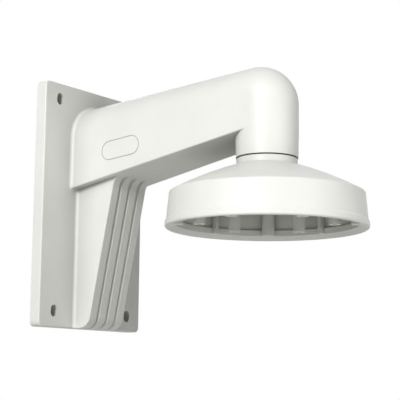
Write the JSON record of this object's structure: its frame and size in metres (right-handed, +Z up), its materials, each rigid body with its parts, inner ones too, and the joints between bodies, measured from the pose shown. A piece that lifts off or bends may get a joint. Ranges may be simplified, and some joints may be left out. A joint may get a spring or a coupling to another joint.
{
  "type": "camera wall bracket",
  "caption": "White die-cast wall bracket with a hollow tapered arm, a grooved gusset and a downward round cap that a surveillance camera screws up into.",
  "frame": {"origin": "middle of the wall plate's back face, on the wall", "axes": "+X straight out of the wall along the arm, +Y across the plate, +Z up"},
  "size_m": [0.2412, 0.1404, 0.1838],
  "materials": {
    "white_coat": "satin white powder coat on a die casting",
    "black_rubber": "matt",
    "dark_screw": "plain stainless steel"
  },
  "bodies": {
    "root": {"bracket_casting": "white_coat", "pendant_cap": "white_coat", "neck_seal": "black_rubber", "lock_screw": "dark_screw"}
  },
  "joints": []
}
